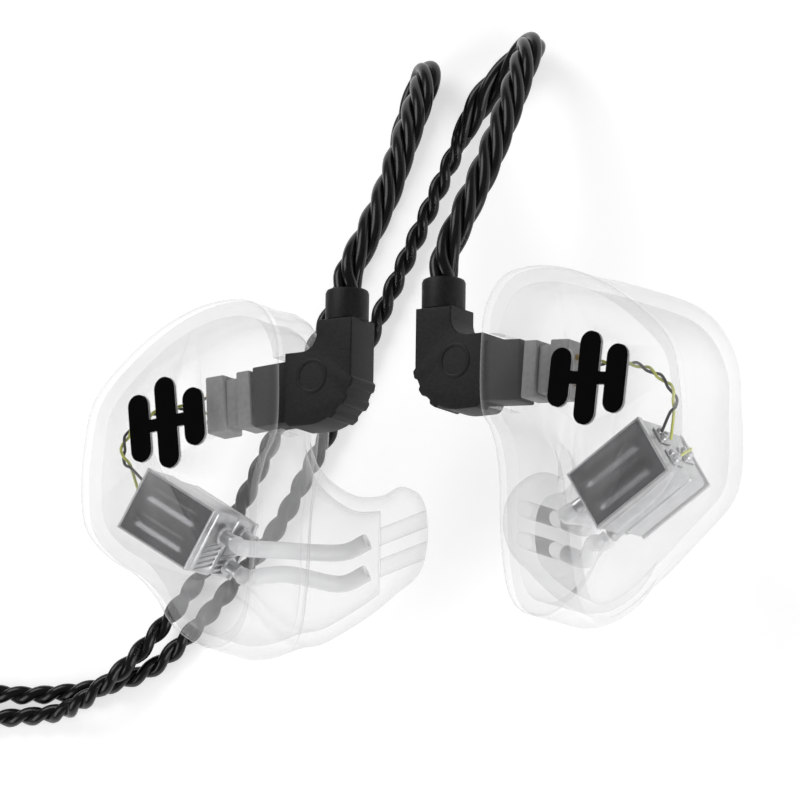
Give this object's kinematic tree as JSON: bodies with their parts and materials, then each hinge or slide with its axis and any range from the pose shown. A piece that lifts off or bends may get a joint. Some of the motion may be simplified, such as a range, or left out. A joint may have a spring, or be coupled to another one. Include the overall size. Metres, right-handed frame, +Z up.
{
  "type": "in ear monitors",
  "caption": "Pair of clear custom-moulded in-ear monitors with balanced-armature drivers on detachable two-pin plugs and one shared twisted cable with ear hooks.",
  "frame": {"origin": "on the table, under the middle of the box round the two monitors, their plugs and their ear hooks", "axes": "+X from the right ear's monitor to the left ear's, +Y towards the ear hooks, +Z up out of the table and out of the faceplates"},
  "size_m": [0.1503, 0.0533, 0.018],
  "materials": {
    "clear_acrylic": "polished clear acrylic",
    "black_print": "inlaid print",
    "grey_moulding": "moulded",
    "black_moulding": "fine moulded texture",
    "dark_steel": "polished",
    "light_steel": "satin",
    "gold_contact": "gold plated",
    "soft_tube": "clear silicone",
    "black_cable": "glossy extruded jacket",
    "black_lead": "enamel",
    "yellow_lead": "enamel"
  },
  "bodies": {
    "cable": {"left_plug_housing": "black_moulding", "left_plug_pin_upper": "gold_contact", "left_plug_pin_lower": "gold_contact", "left_plug_collar": "black_moulding", "left_ear_hook": "black_cable", "left_leg_cable": "black_cable", "left_leg_coil": "black_cable", "left_leg_tail": "black_cable", "right_plug_housing": "black_moulding", "right_plug_pin_upper": "gold_contact", "right_plug_pin_lower": "gold_contact", "right_plug_collar": "black_moulding", "right_ear_hook": "black_cable", "right_leg_cable": "black_cable", "right_leg_coil": "black_cable", "right_leg_tail": "black_cable", "cable_splitter": "black_moulding", "trunk_cable": "black_cable", "trunk_coil": "black_cable", "trunk_tail": "black_cable", "jack_relief": "black_moulding", "jack_housing": "black_moulding", "jack_sleeve": "gold_contact", "jack_ring": "gold_contact", "jack_tip": "gold_contact"},
    "left_monitor": {"left_shell": "clear_acrylic", "left_faceplate": "clear_acrylic", "left_faceplate_mark": "black_print", "left_socket": "grey_moulding", "left_low_driver_can": "light_steel", "left_low_driver_lid": "dark_steel", "left_low_driver_terminals": "light_steel", "left_low_driver_spout": "light_steel", "left_high_driver_can": "light_steel", "left_high_driver_lid": "light_steel", "left_high_driver_terminals": "light_steel", "left_high_driver_spout_upper": "light_steel", "left_high_driver_spout_lower": "light_steel", "left_low_sound_tube": "soft_tube", "left_high_sound_tube": "soft_tube", "left_lead_black": "black_lead", "left_lead_yellow": "yellow_lead"},
    "right_monitor": {"right_shell": "clear_acrylic", "right_faceplate": "clear_acrylic", "right_faceplate_mark": "black_print", "right_socket": "grey_moulding", "right_low_driver_can": "light_steel", "right_low_driver_lid": "dark_steel", "right_low_driver_terminals": "light_steel", "right_low_driver_spout": "light_steel", "right_high_driver_can": "light_steel", "right_high_driver_lid": "light_steel", "right_high_driver_terminals": "light_steel", "right_high_driver_spout_upper": "light_steel", "right_high_driver_spout_lower": "light_steel", "right_low_sound_tube": "soft_tube", "right_high_sound_tube": "soft_tube", "right_lead_black": "black_lead", "right_lead_yellow": "yellow_lead"},
    "slider": {"chin_slider": "black_moulding"}
  },
  "joints": [
    {"name": "left_plug_slide", "type": "slide", "parent": "cable", "child": "left_monitor", "axis": [0.9981, -0.061, 0], "range_m": [0, 0.007]},
    {"name": "right_plug_slide", "type": "slide", "parent": "cable", "child": "right_monitor", "axis": [-0.9981, -0.061, 0], "range_m": [0, 0.007]},
    {"name": "chin_slide", "type": "slide", "parent": "cable", "child": "slider", "axis": [1, 0, 0], "range_m": [0, 0.009]}
  ]
}
